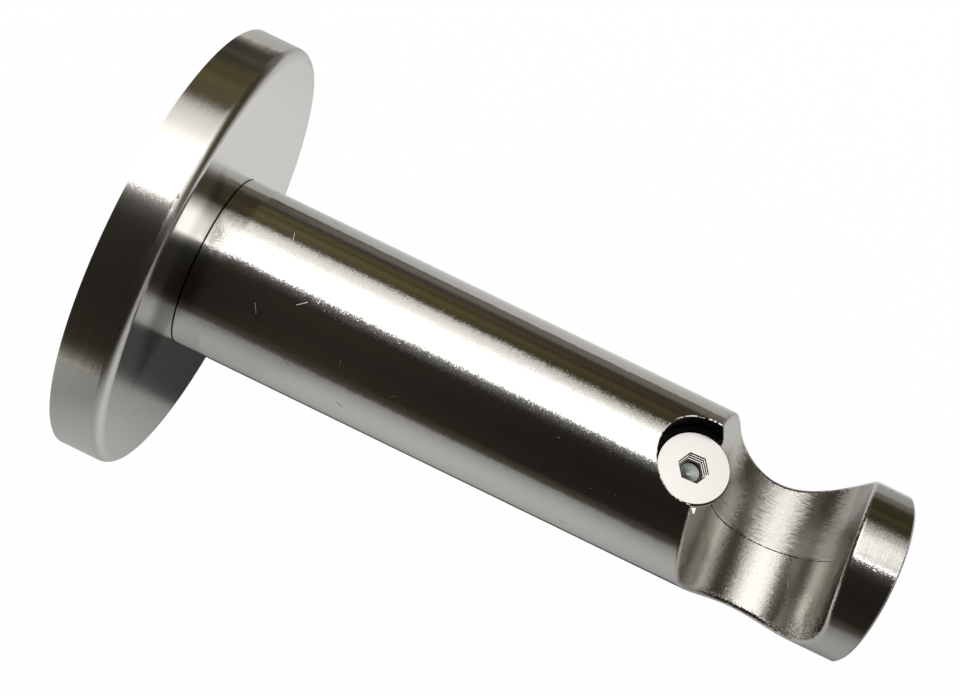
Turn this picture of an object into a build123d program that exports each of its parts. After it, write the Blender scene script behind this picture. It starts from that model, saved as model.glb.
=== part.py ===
"""Curtain pole bracket with a round rosette, a straight barrel and an open cradle for the pole.

The origin is the centre of the bracket's back, on the wall. +X runs out from the wall to
the tip, +Y runs along the pole and +Z is up, the side on which the cradle is open.
"""

import os
from math import radians, tan

from build123d import *

# Barrel
barrel_diameter = 26.0
barrel_rear_chamfer = 0.3
barrel_tip_chamfer = 0.35

# Rosette
rosette_diameter = 65.4
rosette_thickness = 7.6
rosette_edge_radius = 1.5
rosette_back_chamfer = 0.25
rosette_rim_wall = 2.8
rosette_boss_height = 2.0
rosette_boss_wall = 4.5
rosette_bore_clearance = 0.5

# Wall plate
plate_thickness = 3.0
plate_rim_gap = 0.6
plate_edge_chamfer = 0.4
wall_screw_count = 3
wall_screw_first_angle = 90.0
wall_screw_edge_distance = 9.3
wall_screw_hole = 4.5
wall_screw_sink = 8.4

# Stud that joins the wall plate and the barrel
stud_diameter = 8.0
stud_length = 26.0
stud_back_gap = 0.4
stud_end_chamfer = 0.8
stud_hex = 4.0
stud_hex_depth = 4.0
stud_hole_spare = 2.5
stud_hole_lead = 0.8

# Cradle
pole_projection = 96.5
cradle_radius = 10.25
cradle_floor_wall = 6.0
cradle_tip_wall = 5.25
cradle_back_lean = 20.0
cradle_lip_lean = 15.0
cradle_edge_radius = 0.6

# Locking screw and its pocket
screw_setback = 4.75
screw_face_depth = 4.75
screw_head_diameter = 10.9
screw_face_chamfer = 0.3
screw_head_land = 0.3
screw_diameter = 6.0
screw_length = 12.0
screw_end_chamfer = 0.6
screw_hex = 4.0
screw_hex_depth = 2.1
screw_hex_drill = 3.7
screw_hex_turn = 3.0
screw_hole_spare = 1.5
pocket_gap = 0.9
pocket_edge_chamfer = 0.15
head_seat_clearance = 0.1

# Shared by the holes and the screws
sink_angle = 90.0
drill_point_angle = 118.0
thread_clearance = 0.05
hexagon_sides = 6
half_turn = 180.0
cut_margin = 1.0

# Worked out from the sizes above
barrel_radius = barrel_diameter / 2
cut_top = barrel_radius + cut_margin
rosette_radius = rosette_diameter / 2
recess_radius = rosette_radius - rosette_rim_wall
recess_floor = plate_thickness + rosette_boss_height
plate_radius = recess_radius - plate_rim_gap
wall_screw_radius = plate_radius - wall_screw_edge_distance
stud_radius = stud_diameter / 2
stud_front = stud_back_gap + stud_length
stud_hole_radius = stud_radius + thread_clearance
stud_hole_end = stud_front + stud_hole_spare
rosette_bore_radius = stud_radius + rosette_bore_clearance
rosette_boss_radius = rosette_bore_radius + rosette_boss_wall
cradle_height = cradle_floor_wall + cradle_radius - barrel_radius
wall_to_tip = pole_projection + cradle_radius + cradle_tip_wall
screw_distance = pole_projection - cradle_radius - screw_setback
screw_face_height = barrel_radius - screw_face_depth
screw_radius = screw_diameter / 2
screw_hole_radius = screw_radius + thread_clearance
screw_tip = screw_face_height - screw_length
head_radius = screw_head_diameter / 2
head_land_bottom = screw_face_height - screw_face_chamfer - screw_head_land
head_cone_height = (head_radius - screw_radius) / tan(radians(sink_angle / 2))
socket_floor = screw_face_height - screw_hex_depth
pocket_radius = head_radius + pocket_gap


def drill_point_height(radius):
    """Height of the cone that a twist drill leaves at the end of a blind hole."""
    return radius / tan(radians(drill_point_angle / 2))


# Wall plate: a disc with countersunk holes for the wall screws and a tapped centre hole
with BuildPart() as wall_plate:
    with BuildSketch(Plane.YZ):
        Circle(plate_radius)
    extrude(amount=plate_thickness)
    front_rim = wall_plate.faces().sort_by(Axis.X)[-1].edges()
    chamfer(front_rim, length=plate_edge_chamfer)
    with Locations(Plane.YZ.offset(plate_thickness)):
        Hole(stud_hole_radius)
        with PolarLocations(wall_screw_radius, wall_screw_count, start_angle=wall_screw_first_angle):
            CounterSinkHole(
                radius=wall_screw_hole / 2,
                counter_sink_radius=wall_screw_sink / 2,
                counter_sink_angle=sink_angle,
            )
wall_plate.part.label = "wall_plate"

# Mounting stud: a length of screw with chamfered ends and a hexagon socket at its front
with BuildPart() as mounting_stud:
    with BuildSketch(Plane.YZ.offset(stud_back_gap)):
        Circle(stud_radius)
    extrude(amount=stud_length)
    end_rims = mounting_stud.edges().filter_by(GeomType.CIRCLE)
    chamfer(end_rims, length=stud_end_chamfer)
    with BuildSketch(Plane.YZ.offset(stud_front)):
        RegularPolygon(stud_hex / 2, hexagon_sides, major_radius=False)
    extrude(amount=-stud_hex_depth, mode=Mode.SUBTRACT)
mounting_stud.part.label = "mounting_stud"

# Rosette: a turned cover, hollow behind, whose centre boss seats on the wall plate
with BuildPart() as rosette:
    with BuildSketch(Plane.XY):
        with BuildLine():
            Polyline(
                (0, recess_radius),
                (0, rosette_radius),
                (rosette_thickness, rosette_radius),
                (rosette_thickness, rosette_bore_radius),
                (plate_thickness, rosette_bore_radius),
                (plate_thickness, rosette_boss_radius),
                (recess_floor, rosette_boss_radius),
                (recess_floor, recess_radius),
                close=True,
            )
        make_face()
    revolve(axis=Axis.X)
    outer_rims = rosette.edges().filter_by(GeomType.CIRCLE).sort_by(SortBy.RADIUS)[-2:]
    fillet(outer_rims.sort_by(Axis.X)[-1], radius=rosette_edge_radius)
    outer_rims = rosette.edges().filter_by(GeomType.CIRCLE).sort_by(SortBy.RADIUS)[-2:]
    chamfer(outer_rims.sort_by(Axis.X)[0], length=rosette_back_chamfer)
rosette.part.label = "rosette"

# Barrel: a solid bar with a tapped rear end, the cradle and the locking screw's pocket
with BuildPart() as barrel:
    with BuildSketch(Plane.YZ.offset(rosette_thickness)):
        Circle(barrel_radius)
    extrude(amount=wall_to_tip - rosette_thickness)
    end_faces = barrel.faces().sort_by(Axis.X)
    chamfer(end_faces[0].edges(), length=barrel_rear_chamfer)
    chamfer(end_faces[-1].edges(), length=barrel_tip_chamfer)

    # The cradle's half-round seat runs into two flat walls that lean back towards the wall
    with BuildSketch(Plane.XZ):
        with BuildLine():
            seat = CenterArc(
                (pole_projection, cradle_height),
                cradle_radius,
                half_turn + cradle_back_lean,
                half_turn - cradle_back_lean + cradle_lip_lean,
            )
            back_rise = cut_top - (seat @ 0).Y
            lip_rise = cut_top - (seat @ 1).Y
            back_run = back_rise * tan(radians(cradle_back_lean))
            lip_run = lip_rise * tan(radians(cradle_lip_lean))
            back_wall = Line(seat @ 0, seat @ 0 + (-back_run, back_rise))
            lip_wall = Line(seat @ 1, seat @ 1 + (-lip_run, lip_rise))
            Line(back_wall @ 1, lip_wall @ 1)
        make_face()
    extrude(amount=cut_top, both=True, mode=Mode.SUBTRACT)
    cradle_rim = barrel.edges(Select.LAST).filter_by(GeomType.LINE, reverse=True)
    fillet(cradle_rim, radius=cradle_edge_radius)

    # The pocket sinks the screw's head and breaks through the cradle's back wall
    with BuildSketch(Plane.XY.offset(head_land_bottom)):
        with Locations((screw_distance, 0)):
            Circle(pocket_radius)
    extrude(amount=cut_top - head_land_bottom, mode=Mode.SUBTRACT)
    pocket_rim = barrel.edges(Select.LAST).filter_by(Axis.Z, reverse=True)
    pocket_rim = pocket_rim.filter_by(lambda edge: edge.center().Z > head_land_bottom + pocket_edge_chamfer)
    chamfer(pocket_rim, length=pocket_edge_chamfer)
    with Locations((screw_distance, 0, head_land_bottom)):
        CounterSinkHole(
            radius=screw_hole_radius,
            counter_sink_radius=head_radius + head_seat_clearance,
            depth=head_land_bottom - screw_tip + screw_hole_spare,
            counter_sink_angle=sink_angle,
        )

    # The rear end is drilled and tapped for the stud
    with BuildSketch(Plane.XY):
        with BuildLine():
            Polyline(
                (rosette_thickness, 0),
                (rosette_thickness, stud_hole_radius + stud_hole_lead),
                (rosette_thickness + stud_hole_lead, stud_hole_radius),
                (stud_hole_end, stud_hole_radius),
                (stud_hole_end + drill_point_height(stud_hole_radius), 0),
                close=True,
            )
        make_face()
    revolve(axis=Axis.X, mode=Mode.SUBTRACT)
barrel.part.label = "barrel"

# Locking screw: a flat countersunk head with a drilled hexagon socket, on a plain shank
with BuildPart() as locking_screw:
    screw_axis = Axis((screw_distance, 0, 0), (0, 0, 1))
    with BuildSketch(Plane.XZ):
        with BuildLine():
            Polyline(
                (screw_distance, screw_face_height),
                (screw_distance + head_radius - screw_face_chamfer, screw_face_height),
                (screw_distance + head_radius, screw_face_height - screw_face_chamfer),
                (screw_distance + head_radius, head_land_bottom),
                (screw_distance + screw_radius, head_land_bottom - head_cone_height),
                (screw_distance + screw_radius, screw_tip + screw_end_chamfer),
                (screw_distance + screw_radius - screw_end_chamfer, screw_tip),
                (screw_distance, screw_tip),
                close=True,
            )
        make_face()
    revolve(axis=screw_axis)
    with BuildSketch(Plane.XY.offset(screw_face_height)):
        with Locations((screw_distance, 0)):
            RegularPolygon(screw_hex / 2, hexagon_sides, major_radius=False, rotation=screw_hex_turn)
    extrude(amount=-screw_hex_depth, mode=Mode.SUBTRACT)
    with BuildSketch(Plane.XZ):
        with BuildLine():
            Polyline(
                (screw_distance, socket_floor),
                (screw_distance + screw_hex_drill / 2, socket_floor),
                (screw_distance, socket_floor - drill_point_height(screw_hex_drill / 2)),
                close=True,
            )
        make_face()
    revolve(axis=screw_axis, mode=Mode.SUBTRACT)
locking_screw.part.label = "locking_screw"

os.makedirs("parts", exist_ok=True)
for piece in (wall_plate, mounting_stud, rosette, barrel, locking_screw):
    export_step(piece.part, f"parts/{piece.part.label}.step")
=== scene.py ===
"""Looks for a curtain pole bracket: brushed stainless steel in a small light tent."""

from math import cos, pi, radians, sin

import bmesh
import bpy
from mathutils import Matrix, Vector


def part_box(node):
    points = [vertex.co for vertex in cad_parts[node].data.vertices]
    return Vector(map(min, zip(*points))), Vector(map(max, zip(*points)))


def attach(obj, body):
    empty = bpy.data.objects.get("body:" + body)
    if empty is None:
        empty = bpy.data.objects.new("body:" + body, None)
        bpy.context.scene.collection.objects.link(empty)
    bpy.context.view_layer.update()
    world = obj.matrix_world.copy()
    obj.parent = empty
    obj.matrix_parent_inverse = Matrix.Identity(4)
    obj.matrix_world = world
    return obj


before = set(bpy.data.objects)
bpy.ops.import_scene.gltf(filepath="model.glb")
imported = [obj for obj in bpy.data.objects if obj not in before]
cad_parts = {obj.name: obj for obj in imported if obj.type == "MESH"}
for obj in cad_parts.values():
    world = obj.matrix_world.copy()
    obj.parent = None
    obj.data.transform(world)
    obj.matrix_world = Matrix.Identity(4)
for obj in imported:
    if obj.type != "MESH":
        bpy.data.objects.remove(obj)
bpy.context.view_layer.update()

MM = 0.001

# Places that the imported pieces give, in metres
barrel_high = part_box("barrel")[1]
rosette_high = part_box("rosette")[1]
screw_low, screw_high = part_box("locking_screw")
barrel_radius = barrel_high.y
rosette_radius = rosette_high.y
rosette_front = rosette_high.x
screw_distance = (screw_low.x + screw_high.x) / 2
screw_face = screw_high.z

# Places and slopes inside the pieces, the same as in the part's source
cradle_distance = 96.5 * MM
cradle_height = 3.25 * MM
cradle_radius = 10.25 * MM
back_lean = radians(20.0)
lip_lean = radians(15.0)
pocket_radius = 6.35 * MM
pocket_floor = 7.65 * MM
socket_floor = 6.15 * MM
socket_corner = radians(33.0)
socket_side = radians(153.0)

STRAIGHT_UP = (0.0, 0.0, 1.0)
ALONG_POLE = (0.0, 1.0, 0.0)


class Value:
    """A socket of a node tree that takes part in plain arithmetic."""

    def __init__(self, tree, socket):
        self.tree = tree
        self.socket = socket

    def math(self, operation, *values):
        return self.tree.add("ShaderNodeMath", {"operation": operation}, dict(enumerate(values)))

    def __add__(self, other):
        return self.math("ADD", self, other)

    def __radd__(self, other):
        return self.math("ADD", other, self)

    def __sub__(self, other):
        return self.math("SUBTRACT", self, other)

    def __rsub__(self, other):
        return self.math("SUBTRACT", other, self)

    def __mul__(self, other):
        return self.math("MULTIPLY", self, other)

    def __rmul__(self, other):
        return self.math("MULTIPLY", other, self)

    def __truediv__(self, other):
        return self.math("DIVIDE", self, other)

    def root(self):
        return self.math("SQRT", self)

    def size(self):
        return self.math("ABSOLUTE", self)

    def or_more(self, other):
        """The larger of this number and another."""
        return self.math("MAXIMUM", self, other)

    def rise(self, start, end):
        """0 up to start and 1 from end on, with a smooth rise between them."""
        settings = {"interpolation_type": "SMOOTHSTEP"}
        sockets = {"Value": self, "From Min": start, "From Max": end}
        return self.tree.add("ShaderNodeMapRange", settings, sockets)

    def fall(self, start, end):
        """1 up to start and 0 from end on, with a smooth fall between them."""
        return 1 - self.rise(start, end)


class Tree:
    """The nodes of a material or of the world."""

    def __init__(self, owner):
        owner.use_nodes = True
        self.nodes = owner.node_tree.nodes
        self.links = owner.node_tree.links
        self.nodes.clear()

    def add(self, kind, settings=None, sockets=None, output=0):
        """Adds a node with its settings, its sockets' values or links, and gives one output."""
        node = self.nodes.new(kind)
        for name, setting in (settings or {}).items():
            if name == "stops":
                self.set_stops(node.color_ramp, setting)
            else:
                setattr(node, name, setting)
        for key, value in (sockets or {}).items():
            if isinstance(value, Value):
                self.links.new(value.socket, node.inputs[key])
            else:
                node.inputs[key].default_value = value
        return Value(self, node.outputs[output]) if node.outputs else None

    def set_stops(self, ramp, stops):
        while len(ramp.elements) < len(stops):
            ramp.elements.new(1.0)
        for element, (place, colour) in zip(ramp.elements, stops):
            element.position = place
            element.color = colour

    def finish(self, shader, kind="ShaderNodeOutputMaterial"):
        self.add(kind, None, {"Surface": shader})

    def place(self):
        """The object coordinates in metres, as a vector and as x, y and z."""
        point = self.add("ShaderNodeTexCoord", output="Object")
        return point, self.parts(point)

    def parts(self, vector):
        made = self.add("ShaderNodeSeparateXYZ", sockets={0: vector}).socket.node
        return [Value(self, output) for output in made.outputs]

    def vector(self, x, y, z):
        return self.add("ShaderNodeCombineXYZ", sockets={0: x, 1: y, 2: z})

    def combine(self, operation, *vectors):
        """A vector worked out from vectors."""
        return self.add("ShaderNodeVectorMath", {"operation": operation}, dict(enumerate(vectors)))

    def measure(self, operation, *vectors):
        """A number worked out from vectors, such as a length."""
        return self.add("ShaderNodeVectorMath", {"operation": operation}, dict(enumerate(vectors)), "Value")

    def scale(self, vector, factor):
        return self.add("ShaderNodeVectorMath", {"operation": "SCALE"}, {0: vector, "Scale": factor})

    def noise(self, point, detail=2.0, output=0):
        """Random numbers about 0.5, whose blobs are about one unit of the point wide."""
        return self.add("ShaderNodeTexNoise", None, {"Vector": point, "Scale": 1.0, "Detail": detail}, output)

    def stretch(self, along, shares):
        """A number that follows some (place, number) pairs along a direction."""
        first, last = shares[0][0], shares[-1][0]
        most = max(share for place, share in shares)
        turned = self.add("ShaderNodeMapRange", None, {"Value": along, "From Min": first, "From Max": last})
        stops = [((place - first) / (last - first), grey(share / most)) for place, share in shares]
        return self.add("ShaderNodeValToRGB", {"stops": stops}, {0: turned}) * most

    def colour_mix(self, factor, first, second):
        settings = {"data_type": "RGBA"}
        return self.add("ShaderNodeMix", settings, {0: factor, 6: first, 7: second}, output=2)

    def vector_mix(self, factor, first, second):
        settings = {"data_type": "VECTOR"}
        return self.add("ShaderNodeMix", settings, {0: factor, 4: first, 5: second}, output=1)

    def blend(self, factor, first, second):
        """A number between first and second."""
        return first + (second - first) * factor


def grey(level):
    return (level, level, level, 1.0)


# The camera stands where the photograph was taken
camera_place = Vector((0.05295, -0.0846, 0.2086))
camera_right = Vector((0.8999, 0.4083, 0.1532)).normalized()
camera_forward = Vector((-0.0242, 0.3976, -0.9172)).normalized()
camera_up = camera_right.cross(camera_forward).normalized()
camera_data = bpy.data.cameras.new("photo_camera")
camera_data.sensor_width = 36.0
camera_data.lens = 58.77
camera_data.clip_start = 5 * MM
camera = bpy.data.objects.new("photo_camera", camera_data)
turn = Matrix((camera_right, camera_up, -camera_forward)).transposed().to_4x4()
camera.matrix_world = Matrix.Translation(camera_place) @ turn
bpy.context.scene.collection.objects.link(camera)
bpy.context.scene.camera = camera


# The steels' colours
STEEL = (0.63, 0.62, 0.60, 1.0)
ROSETTE_STEEL = (0.78, 0.77, 0.755, 1.0)
RIM_STEEL = (0.62, 0.61, 0.59, 1.0)
CAST_STEEL = (0.53, 0.515, 0.485, 1.0)
PAINTED_LIGHT_STEEL = (0.84, 0.82, 0.78, 1.0)
SHADED_STEEL = (0.22, 0.21, 0.19, 1.0)
CASTING_LINE_STEEL = (0.20, 0.185, 0.16, 1.0)
SCREW_STEEL = (0.605, 0.592, 0.578, 1.0)
SOCKET_STEEL = (0.26, 0.285, 0.265, 1.0)
SOCKET_SHADE_STEEL = (0.03, 0.026, 0.022, 1.0)
LEDGE_STEEL = (0.60, 0.59, 0.57, 1.0)
COLLAR_SHADE_STEEL = (0.18, 0.175, 0.16, 1.0)
JOINT_SHADOW = (0.012, 0.011, 0.010, 1.0)
POCKET_SHADE_STEEL = (0.012, 0.011, 0.009, 1.0)

# How dark the painted shade on the face beside the barrel is, by the sine of the angle from straight up
COLLAR_SHADE_SHARES = ((-0.2, 0.95), (0.05, 0.95), (0.25, 0.45), (0.4, 0.55), (0.5, 0.7), (0.62, 1.0),
                 (0.8, 1.0), (0.9, 0.85), (1.0, 0.7))


def steel_shader(tree, colour, roughness, normal):
    sockets = {"Base Color": colour, "Metallic": 1.0, "Roughness": roughness, "Normal": normal}
    return tree.add("ShaderNodeBsdfPrincipled", None, sockets)


def surface_normal(tree):
    return tree.add("ShaderNodeNewGeometry", output="Normal")


def unit(tree, vector):
    return tree.combine("NORMALIZE", vector)


def grain(tree, point, size, slope):
    """Small random slopes in every direction, as a leathery or shot surface has them."""
    made = tree.noise(tree.scale(point, 1 / size), output="Color")
    return tree.scale(tree.combine("SUBTRACT", made, (0.5, 0.5, 0.5)), slope)


def tipped(tree, *slopes):
    """The surface's normal, tipped by some small slopes."""
    normal = surface_normal(tree)
    for slope in slopes:
        normal = tree.combine("ADD", normal, slope)
    return unit(tree, normal)


def turning_marks(tree, place, profile, step, reach, slope):
    """Lines along the turning direction: fine from line to line, long along each line."""
    x, y, z = place
    marks = tree.noise(tree.vector(profile / step, y / reach, z / reach))
    along = tree.vector(0.0, 0 - z, y)
    across = unit(tree, tree.combine("CROSS_PRODUCT", surface_normal(tree), along))
    return tree.scale(across, (marks - 0.5) * slope), marks


def nicks(tree, point, spacing, radius):
    """1 in small round nicks, some way apart, and 0 elsewhere."""
    cells = {"Vector": point, "Scale": 1 / spacing}
    apart = tree.add("ShaderNodeTexVoronoi", None, cells, output="Distance")
    chosen = tree.parts(tree.add("ShaderNodeTexVoronoi", None, cells, output="Color"))[0]
    return apart.fall(0.5 * radius / spacing, radius / spacing) * chosen.rise(0.45, 0.55)


def scratches(tree, point, spacing, reach, width):
    """1 in thin, straight scratches, one here and there, and 0 elsewhere."""
    cells = {"Vector": tree.scale(point, 1 / spacing), "Scale": 1.0}
    middle = tree.add("ShaderNodeTexVoronoi", None, cells, output="Position")
    chance = tree.add("ShaderNodeTexVoronoi", None, cells, output="Color")
    offset = tree.combine("SUBTRACT", cells["Vector"], middle)
    heading = unit(tree, tree.combine("SUBTRACT", chance, (0.5, 0.5, 0.5)))
    aside = tree.measure("DOT_PRODUCT", offset, heading)
    away = tree.measure("LENGTH", offset)
    line = aside.size().fall(0.4 * width / spacing, width / spacing)
    return line * away.fall(0.8 * reach / spacing, reach / spacing)


def barrel_steel():
    """Brushed and pitted outside, cast in the cradle, painted near-black as shade in the pocket."""
    material = bpy.data.materials.new("barrel_brushed_steel")
    tree = Tree(material)
    point, place = tree.place()
    x, y, z = place
    radius = (y * y + z * z).root()
    coarse = tree.noise(tree.scale(point, 1 / (0.35 * MM))).rise(0.56, 0.74)
    rear_end = x.fall(rosette_front + 0.31 * MM, rosette_front + 0.33 * MM)
    outside = radius.rise(barrel_radius - 0.12 * MM, barrel_radius - 0.04 * MM).or_more(rear_end)

    # The outside: turning marks, pits on top and a faint leathery grain
    turned, marks = turning_marks(tree, place, x, step=0.07 * MM, reach=6 * MM, slope=0.14)
    top = y.rise(-11.0 * MM, -7.0 * MM) * y.fall(3.5 * MM, 7.5 * MM)
    pitting = (coarse * 0.34 + 0.12) * tree.blend(top, 0.3, 1.0)
    outer_normal = tipped(tree, turned, grain(tree, point, 0.2 * MM, pitting),
                          grain(tree, point, 0.9 * MM, 0.03))

    # The seat: rows of fine lines, strongest in its far half, and a rough cast grain
    far_half = y.rise(-0.2 * MM, 0.8 * MM)
    near_half = 1 - far_half
    seat_rim = radius.rise(11.5 * MM, 12.3 * MM)
    corner_place = (104.5 * MM, -11.2 * MM, -2.9 * MM)
    corner = tree.measure("DISTANCE", point, corner_place).fall(0.8 * MM, 2.2 * MM)
    rows = tree.noise(tree.vector(x / (1.3 * MM), y / (0.13 * MM), z / (1.3 * MM)), detail=1.0)
    round_seat = unit(tree, tree.combine("CROSS_PRODUCT", surface_normal(tree), ALONG_POLE))
    row_slope = (rows - 0.5) * tree.blend(far_half, 0.06, 0.34)
    cast_slope = coarse * 0.5 + 0.17 + seat_rim * 0.9 + corner * 0.4
    seat_normal = tipped(tree, tree.scale(round_seat, row_slope), grain(tree, point, 0.22 * MM, cast_slope))
    near_roughness = tree.blend(x.rise(96.5 * MM, 101.0 * MM), 0.235, 0.19)
    seat_roughness = tree.blend(far_half, near_roughness, 0.285)
    facing = tree.parts(surface_normal(tree))[0]
    # Painted shade: the cradle's lip wall, its hollow near the lip and its end towards the tip are darkened
    # in the colour
    lip_wall = x.rise(100.0 * MM, 101.0 * MM) * facing.fall(-0.95, -0.93)
    hollow = x.rise(101.2 * MM, 102.2 * MM) * x.fall(104.0 * MM, 105.2 * MM) * near_half
    shade = lip_wall * 0.3 + hollow * 0.7 + x.rise(102.6 * MM, 103.6 * MM) * 0.25
    # Painted light: a lighter strip on the cradle's near left, put into the colour
    painted_light_strip = x.fall(90.0 * MM, 91.2 * MM) * near_half
    rounding = radius.rise(12.36 * MM, 12.44 * MM) * (1 - outside) * x.rise(85.0 * MM, 86.0 * MM)
    seat_roughness = tree.blend(rounding, seat_roughness, 0.12)

    # The pocket's wall and floor are painted near-black as shade, and its chamfered rim catches the light
    screw_offset = x - screw_distance
    screw_gap = (screw_offset * screw_offset + y * y).root()
    inside = radius.fall(barrel_radius - 0.20 * MM, barrel_radius - 0.16 * MM)
    pocket_wall = (screw_gap - pocket_radius).size().fall(0.03 * MM, 0.05 * MM)
    pocket_wall = pocket_wall * z.rise(pocket_floor - 0.06 * MM, pocket_floor - 0.03 * MM)
    pocket_ledge = (z - pocket_floor).size().fall(0.03 * MM, 0.05 * MM)
    pocket_ledge = pocket_ledge * screw_gap.fall(pocket_radius, pocket_radius + 0.03 * MM)
    pocket = pocket_wall.or_more(pocket_ledge) * inside * y.rise(-5.2 * MM, -4.2 * MM)
    pocket_rim = (screw_gap - pocket_radius - 0.06 * MM).size().fall(0.08 * MM, 0.10 * MM)
    pocket_rim = pocket_rim * radius.rise(barrel_radius - 0.17 * MM, barrel_radius - 0.15 * MM)
    pocket_rim = pocket_rim * z.rise(pocket_floor + 1.0 * MM, pocket_floor + 1.1 * MM)

    # Marks of use, and what catches the light from straight above
    specks = nicks(tree, point, spacing=1.8 * MM, radius=0.08 * MM)
    marred = specks.or_more(scratches(tree, point, spacing=6 * MM, reach=0.9 * MM, width=0.05 * MM))
    speckle = tree.noise(tree.scale(point, 1 / (0.16 * MM))).rise(0.5, 0.64)
    lit = pocket_rim * tree.noise(tree.scale(point, 1 / (0.7 * MM))).rise(0.4, 0.55)
    lit = lit.or_more(marred * 0.5).or_more(corner * speckle * 0.6)

    normal = tree.vector_mix(outside, seat_normal, outer_normal)
    normal = tree.vector_mix(rear_end, normal, unit(tree, tree.vector(0.0, y, z)))
    normal = unit(tree, tree.vector_mix(lit * 0.8, normal, STRAIGHT_UP))
    roughness = tree.blend(outside, seat_roughness, 0.06 + marks * 0.03)
    roughness = tree.blend(marred, roughness, 0.42)
    roughness = tree.blend(pocket, roughness, 0.5)
    joint = x.fall(rosette_front + 0.11 * MM, rosette_front + 0.15 * MM)
    colour = tree.colour_mix(shade, CAST_STEEL, SHADED_STEEL)
    colour = tree.colour_mix(painted_light_strip, colour, PAINTED_LIGHT_STEEL)
    colour = tree.colour_mix(outside.or_more(rounding), colour, STEEL)
    colour = tree.colour_mix(pocket, colour, POCKET_SHADE_STEEL)
    colour = tree.colour_mix(joint, colour, JOINT_SHADOW)
    tree.finish(steel_shader(tree, colour, roughness, normal))
    return material


def rosette_steel():
    """Turned satin steel, a little brighter on the face than on the rim."""
    material = bpy.data.materials.new("rosette_brushed_steel")
    tree = Tree(material)
    point, place = tree.place()
    x, y, z = place
    radius = (y * y + z * z).root()
    turned, marks = turning_marks(tree, place, x + radius, step=0.09 * MM, reach=14 * MM, slope=0.09)
    rim = radius.rise(rosette_radius - 0.5 * MM, rosette_radius - 0.1 * MM)
    normal = tipped(tree, turned, grain(tree, point, 0.25 * MM, tree.blend(rim, 0.08, 0.05)))
    rear_edge = radius.rise(rosette_radius - 0.3 * MM, rosette_radius - 0.26 * MM)
    rear_edge = rear_edge * x.fall(0.24 * MM, 0.26 * MM)
    normal = tree.vector_mix(rear_edge, normal, unit(tree, tree.vector(0.0, y, z)))

    # Painted shade: the face beside the barrel is darkened, and painted black as shadow at the joint itself
    face = x.rise(rosette_front - 0.2 * MM, rosette_front - 0.1 * MM)
    collar = radius.fall(20.0 * MM, 26.0 * MM) * y.fall(0.5 * MM, 4.0 * MM) * z.rise(1.0 * MM, 7.0 * MM)
    collar = collar * face * tree.stretch((0 - y) / radius, COLLAR_SHADE_SHARES)
    joint = face * radius.fall(barrel_radius + 0.02 * MM, barrel_radius + 0.06 * MM)
    colour = tree.colour_mix(rim, ROSETTE_STEEL, RIM_STEEL)
    colour = tree.colour_mix(collar, colour, COLLAR_SHADE_STEEL)
    colour = tree.colour_mix(joint, colour, JOINT_SHADOW)
    rounding = radius.rise(rosette_radius - 1.7 * MM, rosette_radius - 1.4 * MM)
    rounding = rounding * x.rise(rosette_front - 1.5 * MM, rosette_front - 1.1 * MM)
    roughness = tree.blend(rim, 0.18, 0.11)
    roughness = tree.blend(rounding, roughness, 0.2) + marks * 0.04
    tree.finish(steel_shader(tree, colour, roughness, normal))
    return material


def screw_steel():
    """A bright face, and a socket whose walls are painted near-black as shade, above its drilled floor."""
    material = bpy.data.materials.new("screw_steel")
    tree = Tree(material)
    point, (x, y, z) = tree.place()
    screw_offset = x - screw_distance
    screw_gap = (screw_offset * screw_offset + y * y).root()
    socket = screw_gap.fall(2.4 * MM, 2.5 * MM) * z.fall(screw_face - 0.02 * MM, screw_face - 0.01 * MM)
    up = tree.parts(surface_normal(tree))[2]
    wall = socket * up.fall(0.3, 0.5)
    cone = socket * up.rise(0.5, 0.6) * up.fall(0.9, 0.95)
    ledge = socket * up.rise(0.95, 0.99)
    deep = ledge * z.fall(screw_face - 1.62 * MM, screw_face - 1.6 * MM)

    # Painted shade: dark lines that part the ledges on the far side, dark ledges on the near side, and the
    # near-black walls and deepest ledge
    across = y * sin(socket_side) + screw_offset * cos(socket_side)
    lines = across.rise(1.88 * MM, 1.90 * MM) + (across - 1.72 * MM).size().fall(0.05 * MM, 0.07 * MM)
    lines = lines.or_more(y.fall(-0.2 * MM, 0.0 * MM))
    dark = wall.or_more(deep).or_more(ledge * lines)

    # The head's narrow land catches the light
    land = screw_gap.rise(5.3 * MM, 5.34 * MM) * z.fall(screw_face - 0.30 * MM, screw_face - 0.28 * MM)
    land = land * z.rise(screw_face - 0.50 * MM, screw_face - 0.47 * MM)
    lit = land * 0.85 + wall * 0.5 + cone * 0.5
    normal = tipped(tree, grain(tree, point, 0.2 * MM, tree.blend(cone, 0.05, 0.9)))
    normal = tree.vector_mix(lit, normal, STRAIGHT_UP)
    normal = unit(tree, tree.vector_mix(ledge, normal, (-0.06, -0.2, 0.98)))
    colour = tree.colour_mix(cone, SCREW_STEEL, SOCKET_STEEL)
    colour = tree.colour_mix(ledge, colour, LEDGE_STEEL)
    colour = tree.colour_mix(dark, colour, SOCKET_SHADE_STEEL)
    tree.finish(steel_shader(tree, colour, tree.blend(cone, 0.28, 0.36), normal))
    return material


def casting_steel():
    """Rough steel, darker here and there, as the mould left it."""
    material = bpy.data.materials.new("casting_line_steel")
    tree = Tree(material)
    point = tree.place()[0]
    uneven = tree.noise(tree.scale(point, 1 / (0.8 * MM))).rise(0.35, 0.65)
    colour = tree.colour_mix(uneven, CASTING_LINE_STEEL, STEEL)
    normal = tipped(tree, grain(tree, point, 0.3 * MM, 1.3))
    tree.finish(steel_shader(tree, colour, 0.25, normal))
    return material


def dress(node, material):
    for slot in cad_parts[node].material_slots:
        slot.material = material


rosette_finish = rosette_steel()
screw_finish = screw_steel()
casting_finish = casting_steel()
dress("barrel", barrel_steel())
dress("rosette", rosette_finish)
dress("wall_plate", rosette_finish)
dress("locking_screw", screw_finish)
dress("mounting_stud", screw_finish)


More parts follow.
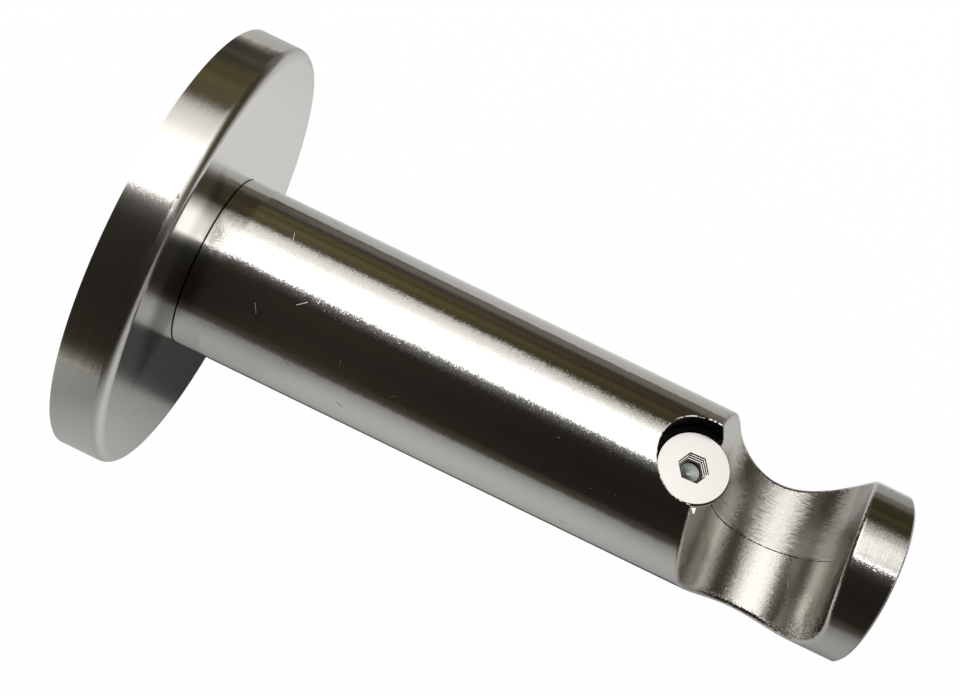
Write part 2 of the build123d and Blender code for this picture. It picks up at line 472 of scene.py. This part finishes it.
def finish_piece(piece, name, material):
    """Names a new piece, puts its place in its mesh and lets it ride on the bracket."""
    piece.name = name
    bpy.ops.object.mode_set(mode="OBJECT")
    bpy.ops.object.select_all(action="DESELECT")
    piece.select_set(True)
    bpy.context.view_layer.objects.active = piece
    bpy.ops.object.transform_apply(location=True, rotation=True, scale=True)
    piece.data.materials.clear()
    piece.data.materials.append(material)
    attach(piece, "root")


def select_faces(piece, wanted):
    """In edit mode, selects just the faces that are wanted."""
    bpy.ops.mesh.select_all(action="DESELECT")
    mesh = bmesh.from_edit_mesh(piece.data)
    for face in mesh.faces:
        face.select_set(wanted(face))
    bmesh.update_edit_mesh(piece.data)


# Inside the screw's socket: each ledge's depth below the face, and the width that it leaves
HEXAGON_SIDES = 6
BROACHED_WIDTH = 3.99 * MM
SOCKET_STEPS = ((0.50 * MM, 3.76 * MM), (1.00 * MM, 3.52 * MM), (1.50 * MM, 3.28 * MM))
COLLAR_SIDES = 32
COLLAR_DEPTH = 1.65 * MM
COLLAR_OUTER, COLLAR_INNER = 3.86 * MM, 2.85 * MM


def socket_ring(name, sides, depth, outer_width, inner_width):
    """One ledge of the socket's broached wall: a ring that reaches down to the socket's floor."""
    height = screw_face - depth - socket_floor
    bpy.ops.object.select_all(action="DESELECT")
    bpy.ops.mesh.primitive_cylinder_add(
        vertices=sides, radius=outer_width / 2 / cos(pi / sides), depth=height,
        location=(screw_distance, 0.0, socket_floor + height / 2), rotation=(0.0, 0.0, socket_corner))
    ring = bpy.context.object
    bpy.ops.object.mode_set(mode="EDIT")
    select_faces(ring, lambda face: abs(face.normal.z) > 0.5)
    bpy.ops.mesh.inset(thickness=(outer_width - inner_width) / 2, use_individual=True)
    bpy.ops.mesh.bridge_edge_loops()
    finish_piece(ring, name, screw_finish)


def casting_line():
    """The thin raised line that the mould left down the cradle's back wall and along its seat."""
    half_width, height = 0.09 * MM, 0.035 * MM
    wall_run = 5.9 * MM
    seat_start = Vector((cradle_distance - cradle_radius * cos(back_lean), 0.0,
                         cradle_height - cradle_radius * sin(back_lean)))
    up_the_wall = Vector((-sin(back_lean), 0.0, cos(back_lean)))
    bpy.ops.object.select_all(action="DESELECT")
    bpy.ops.mesh.primitive_circle_add(
        vertices=8, radius=half_width, fill_type="NGON", location=seat_start + up_the_wall * wall_run,
        rotation=(0.0, -back_lean, 0.0), scale=(height / half_width, 1.0, 1.0))
    line = bpy.context.object
    bpy.ops.object.transform_apply(location=True, rotation=True, scale=True)
    bpy.ops.object.mode_set(mode="EDIT")
    bpy.ops.mesh.select_all(action="SELECT")
    bpy.ops.mesh.extrude_region_move(TRANSFORM_OT_translate={"value": -up_the_wall * wall_run})
    bpy.ops.mesh.spin(steps=48, angle=pi - back_lean - lip_lean,
                      center=(cradle_distance, 0.0, cradle_height), axis=ALONG_POLE)
    bpy.ops.mesh.select_all(action="SELECT")
    bpy.ops.mesh.remove_doubles(threshold=0.001 * MM)
    bpy.ops.mesh.normals_make_consistent(inside=False)
    finish_piece(line, "casting_line", casting_finish)


for number, (depth, inner_width) in enumerate(SOCKET_STEPS, start=1):
    socket_ring(f"socket_step_{number}", HEXAGON_SIDES, depth, BROACHED_WIDTH, inner_width)
socket_ring("socket_collar", COLLAR_SIDES, COLLAR_DEPTH, COLLAR_OUTER, COLLAR_INNER)
casting_line()


# The light tent round the bracket, which only the steel shows
TENT_RADIUS = 0.6
TENT_LENGTH = 2.4
WIDEST_ANGLE = 110.0

# How bright the cloth is at places along the tent, as (metres, share)
OLIVE_SHARES = ((-0.5, 0.55), (-0.25, 1.0), (-0.15, 1.1), (-0.07, 1.15), (0.0, 0.95), (0.1, 0.66),
                (0.25, 0.52))
FRONT_SHARES = ((-0.15, 1.15), (-0.125, 0.8), (-0.11, 0.68), (-0.094, 0.96), (-0.05, 1.25), (0.0, 1.05),
                (0.1, 0.72), (0.25, 0.75))
TUBE_SHARES = ((0.11, 0.0), (0.135, 1.2), (0.165, 1.2), (0.2, 0.25), (0.26, 0.3))
SKIRT_SHARES = ((-0.09, 0.0), (0.0, 1.0), (0.08, 0.6), (0.25, 0.0))

# How bright the overhead panel is across its edges, by the angle from straight up
BACK_EDGE = ((-48.5, 0.0), (-46.5, 0.10), (-43.5, 0.26), (-40.5, 0.335), (-37.5, 0.39), (-31.5, 0.47),
             (-27.0, 0.6), (-18.0, 0.85), (-8.0, 1.0))
TIP_BACK_EDGE = ((-49.0, 0.0), (-46.5, 0.02), (-43.5, 0.08), (-40.5, 0.18), (-37.5, 0.285),
                 (-31.5, 0.48), (-25.5, 0.77), (-20.0, 0.93), (-15.0, 0.97))
FRONT_EDGE = ((6.3, 1.0), (7.3, 0.72), (8.5, 0.3), (9.7, 0.11), (12.0, 0.045), (15.0, 0.014), (22.0, 0.0))

# How bright the panel is towards the tip's end, as (share of the reach, level)
TIP_REACH = 0.7
TIP_EDGE = ((0.05, 1.0), (0.14, 0.94), (0.23, 0.80), (0.32, 0.62), (0.385, 0.505), (0.43, 0.42),
            (0.52, 0.28), (0.63, 0.17), (0.76, 0.1), (1.0, 0.03))

# The cloth's colour by the angle from straight up: brown, olive, black, brown
CLOTH_COLOURS = (
    (-104.0, (0.16, 0.15, 0.125, 1.0)), (-93.0, (0.2, 0.187, 0.155, 1.0)),
    (-89.0, (0.165, 0.15, 0.12, 1.0)), (-84.0, (0.072, 0.063, 0.043, 1.0)),
    (-80.0, (0.071, 0.06, 0.041, 1.0)), (-73.0, (0.107, 0.09, 0.05, 1.0)),
    (-68.0, (0.076, 0.064, 0.027, 1.0)), (-62.0, (0.132, 0.113, 0.056, 1.0)),
    (-54.0, (0.1, 0.084, 0.044, 1.0)), (6.0, (0.05, 0.045, 0.03, 1.0)),
    (25.0, (0.032, 0.029, 0.022, 1.0)), (55.0, (0.027, 0.022, 0.017, 1.0)),
    (84.0, (0.034, 0.028, 0.021, 1.0)), (94.0, (0.075, 0.068, 0.055, 1.0)),
    (98.5, (0.14, 0.13, 0.11, 1.0)), (101.0, (0.27, 0.26, 0.235, 1.0)),
)

PANEL_LIGHT = (1.0, 0.985, 0.95, 1.0)
PANEL_STRENGTH = 2.6


def greys(levels):
    return [(place, grey(level)) for place, level in levels]


def round_the_tent(tree, angle, stops):
    """Colours by the angle about the barrel, from straight up, positive towards the front."""
    turned = tree.add("ShaderNodeMapRange", None,
                      {"Value": angle, "From Min": -WIDEST_ANGLE, "From Max": WIDEST_ANGLE})
    places = [((at / WIDEST_ANGLE + 1) / 2, colour) for at, colour in stops]
    return tree.add("ShaderNodeValToRGB", {"stops": places}, {0: turned})


def overhead_panel(tree, x, angle):
    """1 where the bright panel hangs, with soft edges and a brighter tube along its front."""
    left_end = x.fall(-0.14, -0.12)
    back_edge = round_the_tent(tree, angle - left_end * 1.3, greys(BACK_EDGE))
    tip_back_edge = round_the_tent(tree, angle, greys(TIP_BACK_EDGE))
    back_edge = tree.blend(x.rise(0.03, 0.13), back_edge, tip_back_edge)
    later = x.rise(-0.09, -0.03) * (1.2 - x.rise(0.12, 0.24) * 0.6)
    earlier = x.fall(-0.13, -0.085) * 1.5 - left_end * 1.1
    front_edge = round_the_tent(tree, angle + earlier + 0.8 - later, greys(FRONT_EDGE))
    far_end = tree.add("ShaderNodeMapRange", None, {"Value": x, "From Min": 0.0, "From Max": TIP_REACH})
    tip_edge = tree.add("ShaderNodeValToRGB", {"stops": greys(TIP_EDGE)}, {0: far_end})
    beyond_tip = x.rise(0.32, 0.42) * angle.rise(-27.0, -22.0)
    tube = angle.rise(2.5, 4.2) * tree.stretch(x, TUBE_SHARES)
    fold = (angle - 0.2).size().fall(2.2, 4.2) * x.rise(0.12, 0.24) * 0.10
    skirt = angle.rise(8.0, 11.0) * angle.fall(11.0, 24.0) * tree.stretch(x, SKIRT_SHARES) * 0.045
    panel = (back_edge * front_edge + skirt) * (tip_edge * (1 + beyond_tip * 0.6) + tube - fold)
    return panel * x.rise(-0.46, -0.14)


def cloth_share(tree, x, angle):
    """How bright the cloth is against its plain colour."""
    left_end = x.fall(-0.14, -0.12)
    olive = angle.rise(-84.0, -76.0) * angle.fall(-48.0, -40.0)
    brown = angle.rise(-112.0, -106.0) * angle.fall(-91.0, -86.0)
    front = angle.rise(20.0, 30.0) * angle.fall(84.0, 92.0)
    share = 1 + olive * (tree.stretch(x, OLIVE_SHARES) - 1)
    share = share * (1 - brown * (1 - x.rise(-0.14, -0.04)) * 0.65)
    share = share * (1 + front * (tree.stretch(x, FRONT_SHARES) - 1))
    low_front = angle.rise(88.0, 97.0) * left_end
    low_back = angle.fall(-113.0, -98.0) * left_end
    share = share * (1 + low_front * 1.9) * (1 - left_end * angle.fall(-76.0, -70.0) * 0.2)
    return share + low_back * 4.4


def light_tent_cloth():
    """A bright panel overhead, a dark front and an olive back."""
    material = bpy.data.materials.new("light_tent_cloth")
    tree = Tree(material)
    x, y, z = tree.place()[1]
    angle = tree.add("ShaderNodeMath", {"operation": "ARCTAN2"}, {0: 0 - y, 1: z}) * (180 / pi)
    cloth = round_the_tent(tree, angle, CLOTH_COLOURS)
    share = cloth_share(tree, x, angle)
    panel_light = tree.add("ShaderNodeEmission", None, {"Color": PANEL_LIGHT, "Strength": PANEL_STRENGTH})
    cloth_light = tree.add("ShaderNodeEmission", None, {"Color": cloth, "Strength": share})
    sockets = {0: overhead_panel(tree, x, angle), 1: cloth_light, 2: panel_light}
    tree.finish(tree.add("ShaderNodeMixShader", None, sockets))
    return material


def light_tent():
    bpy.ops.object.select_all(action="DESELECT")
    bpy.ops.mesh.primitive_cylinder_add(vertices=96, radius=TENT_RADIUS, depth=TENT_LENGTH,
                                        rotation=(0.0, pi / 2, 0.0))
    tent = bpy.context.object
    tent.name = "light_tent"
    bpy.ops.object.transform_apply(location=True, rotation=True, scale=True)
    tent.data.materials.append(light_tent_cloth())
    return tent


# The card's brightness from front to back, as (metres, level), with the barrel's painted shadow in the dark
# stretch, and its shares along the barrel, with painted shade near the rosette
CARD_LEVELS = ((-0.24, 0.27), (-0.17, 0.38), (-0.11, 0.49), (-0.066, 0.60), (-0.045, 0.62), (-0.03, 0.57),
               (-0.022, 0.50), (-0.0125, 0.34), (-0.0113, 0.055), (0.0145, 0.055), (0.0245, 0.78),
               (0.033, 0.80), (0.045, 0.79), (0.055, 0.73), (0.066, 0.68), (0.083, 0.66), (0.105, 0.645),
               (0.2, 0.62))
CARD_FRONT_SHARES = ((-0.06, 1.35), (-0.045, 1.25), (-0.03, 0.92), (-0.018, 0.70), (-0.005, 0.82),
                     (0.008, 0.81), (0.013, 0.84), (0.022, 0.96), (0.045, 1.0), (0.073, 0.97),
                     (0.1, 0.86), (0.125, 0.72), (0.2, 0.58))
CARD_BACK_SHARES = ((-0.3, 0.5), (-0.12, 0.64), (-0.06, 0.88), (-0.03, 0.92), (-0.01, 0.78),
                    (-0.002, 0.78), (0.009, 0.84), (0.036, 0.93), (0.073, 0.93), (0.1, 0.8),
                    (0.125, 0.64), (0.2, 0.53))
CARD_LIGHT = (1.0, 0.99, 0.955, 1.0)
CARD_HEIGHT = -0.0335
CARD_CORNERS = ((-0.45, -0.25), (0.60, -0.25), (-0.45, -0.05), (0.60, 0.475))


def table_card_painted_light():
    """A glowing grey sheet under the bracket, with a painted pool of light behind it and the barrel's painted
    shadow just under the barrel.
    """
    material = bpy.data.materials.new("table_card_painted_light")
    tree = Tree(material)
    x, y, z = tree.place()[1]
    # Painted light: brighter still just behind the tip; the painted shadow under the barrel is lifted past
    # the tip
    behind_tip = x.rise(0.1, 0.12) * y.rise(0.0, 0.02) * y.fall(0.045, 0.07)
    past_tip = x.rise(0.105, 0.117) * y.rise(-0.013, -0.011) * y.fall(0.015, 0.024)
    front_share = tree.stretch(x, CARD_FRONT_SHARES)
    back_share = tree.stretch(x, CARD_BACK_SHARES) * (1 + behind_tip * 0.6)
    level = tree.blend(past_tip, tree.stretch(y, CARD_LEVELS), 0.4)
    level = level * tree.blend(y.rise(-0.005, 0.005), front_share, back_share)
    tree.finish(tree.add("ShaderNodeEmission", None, {"Color": CARD_LIGHT, "Strength": level}))
    return material


def table_card():
    """A sheet whose far edge runs at a slant."""
    bpy.ops.object.select_all(action="DESELECT")
    bpy.ops.mesh.primitive_plane_add(size=1.0, location=(0.0, 0.0, CARD_HEIGHT))
    card = bpy.context.object
    card.name = "table_card"
    for corner, (x, y) in zip(card.data.vertices, CARD_CORNERS):
        corner.co = (x, y, 0.0)
    bpy.ops.object.transform_apply(location=True, rotation=True, scale=True)
    card.data.materials.append(table_card_painted_light())
    return card


def shown_only_in_the_steel(sheet):
    sheet.visible_camera = False
    sheet.visible_diffuse = False
    sheet.visible_shadow = False
    sheet.visible_volume_scatter = False
    sheet.visible_transmission = False


def seen_share(tree):
    """1 where the eye, the steel's gloss or glass looks at the background."""
    seen = tree.add("ShaderNodeLightPath", output="Is Camera Ray")
    seen = seen + tree.add("ShaderNodeLightPath", output="Is Glossy Ray")
    return seen + tree.add("ShaderNodeLightPath", output="Is Transmission Ray")


# The floor is white paper that keeps some of the bracket's shadow
FLOOR_SIZE = 6.0
FLOOR_HEIGHT = -0.2
FLOOR_WHITENESS = 0.7


def studio_floor():
    bpy.ops.object.select_all(action="DESELECT")
    bpy.ops.mesh.primitive_plane_add(size=FLOOR_SIZE, location=(0.0, 0.0, FLOOR_HEIGHT))
    floor = bpy.context.object
    floor.name = "studio_floor"
    bpy.ops.object.transform_apply(location=True, rotation=True, scale=True)
    material = bpy.data.materials.new("floor_paper")
    tree = Tree(material)
    paper = tree.add("ShaderNodeBsdfDiffuse", None, {"Color": grey(1.0)})
    white = tree.add("ShaderNodeEmission", None, {"Color": grey(1.0), "Strength": 1.0})
    sockets = {0: seen_share(tree) * FLOOR_WHITENESS, 1: paper, 2: white}
    tree.finish(tree.add("ShaderNodeMixShader", None, sockets))
    floor.data.materials.append(material)
    return floor


tent = light_tent()
card = table_card()
floor = studio_floor()
shown_only_in_the_steel(tent)
shown_only_in_the_steel(card)

world = bpy.data.worlds.new("studio")
bpy.context.scene.world = world
world_tree = Tree(world)
background = world_tree.add("ShaderNodeBackground", None, {"Color": grey(1.0), "Strength": 1.0})
world_tree.finish(background, "ShaderNodeOutputWorld")

bpy.context.scene.view_settings.view_transform = "Standard"
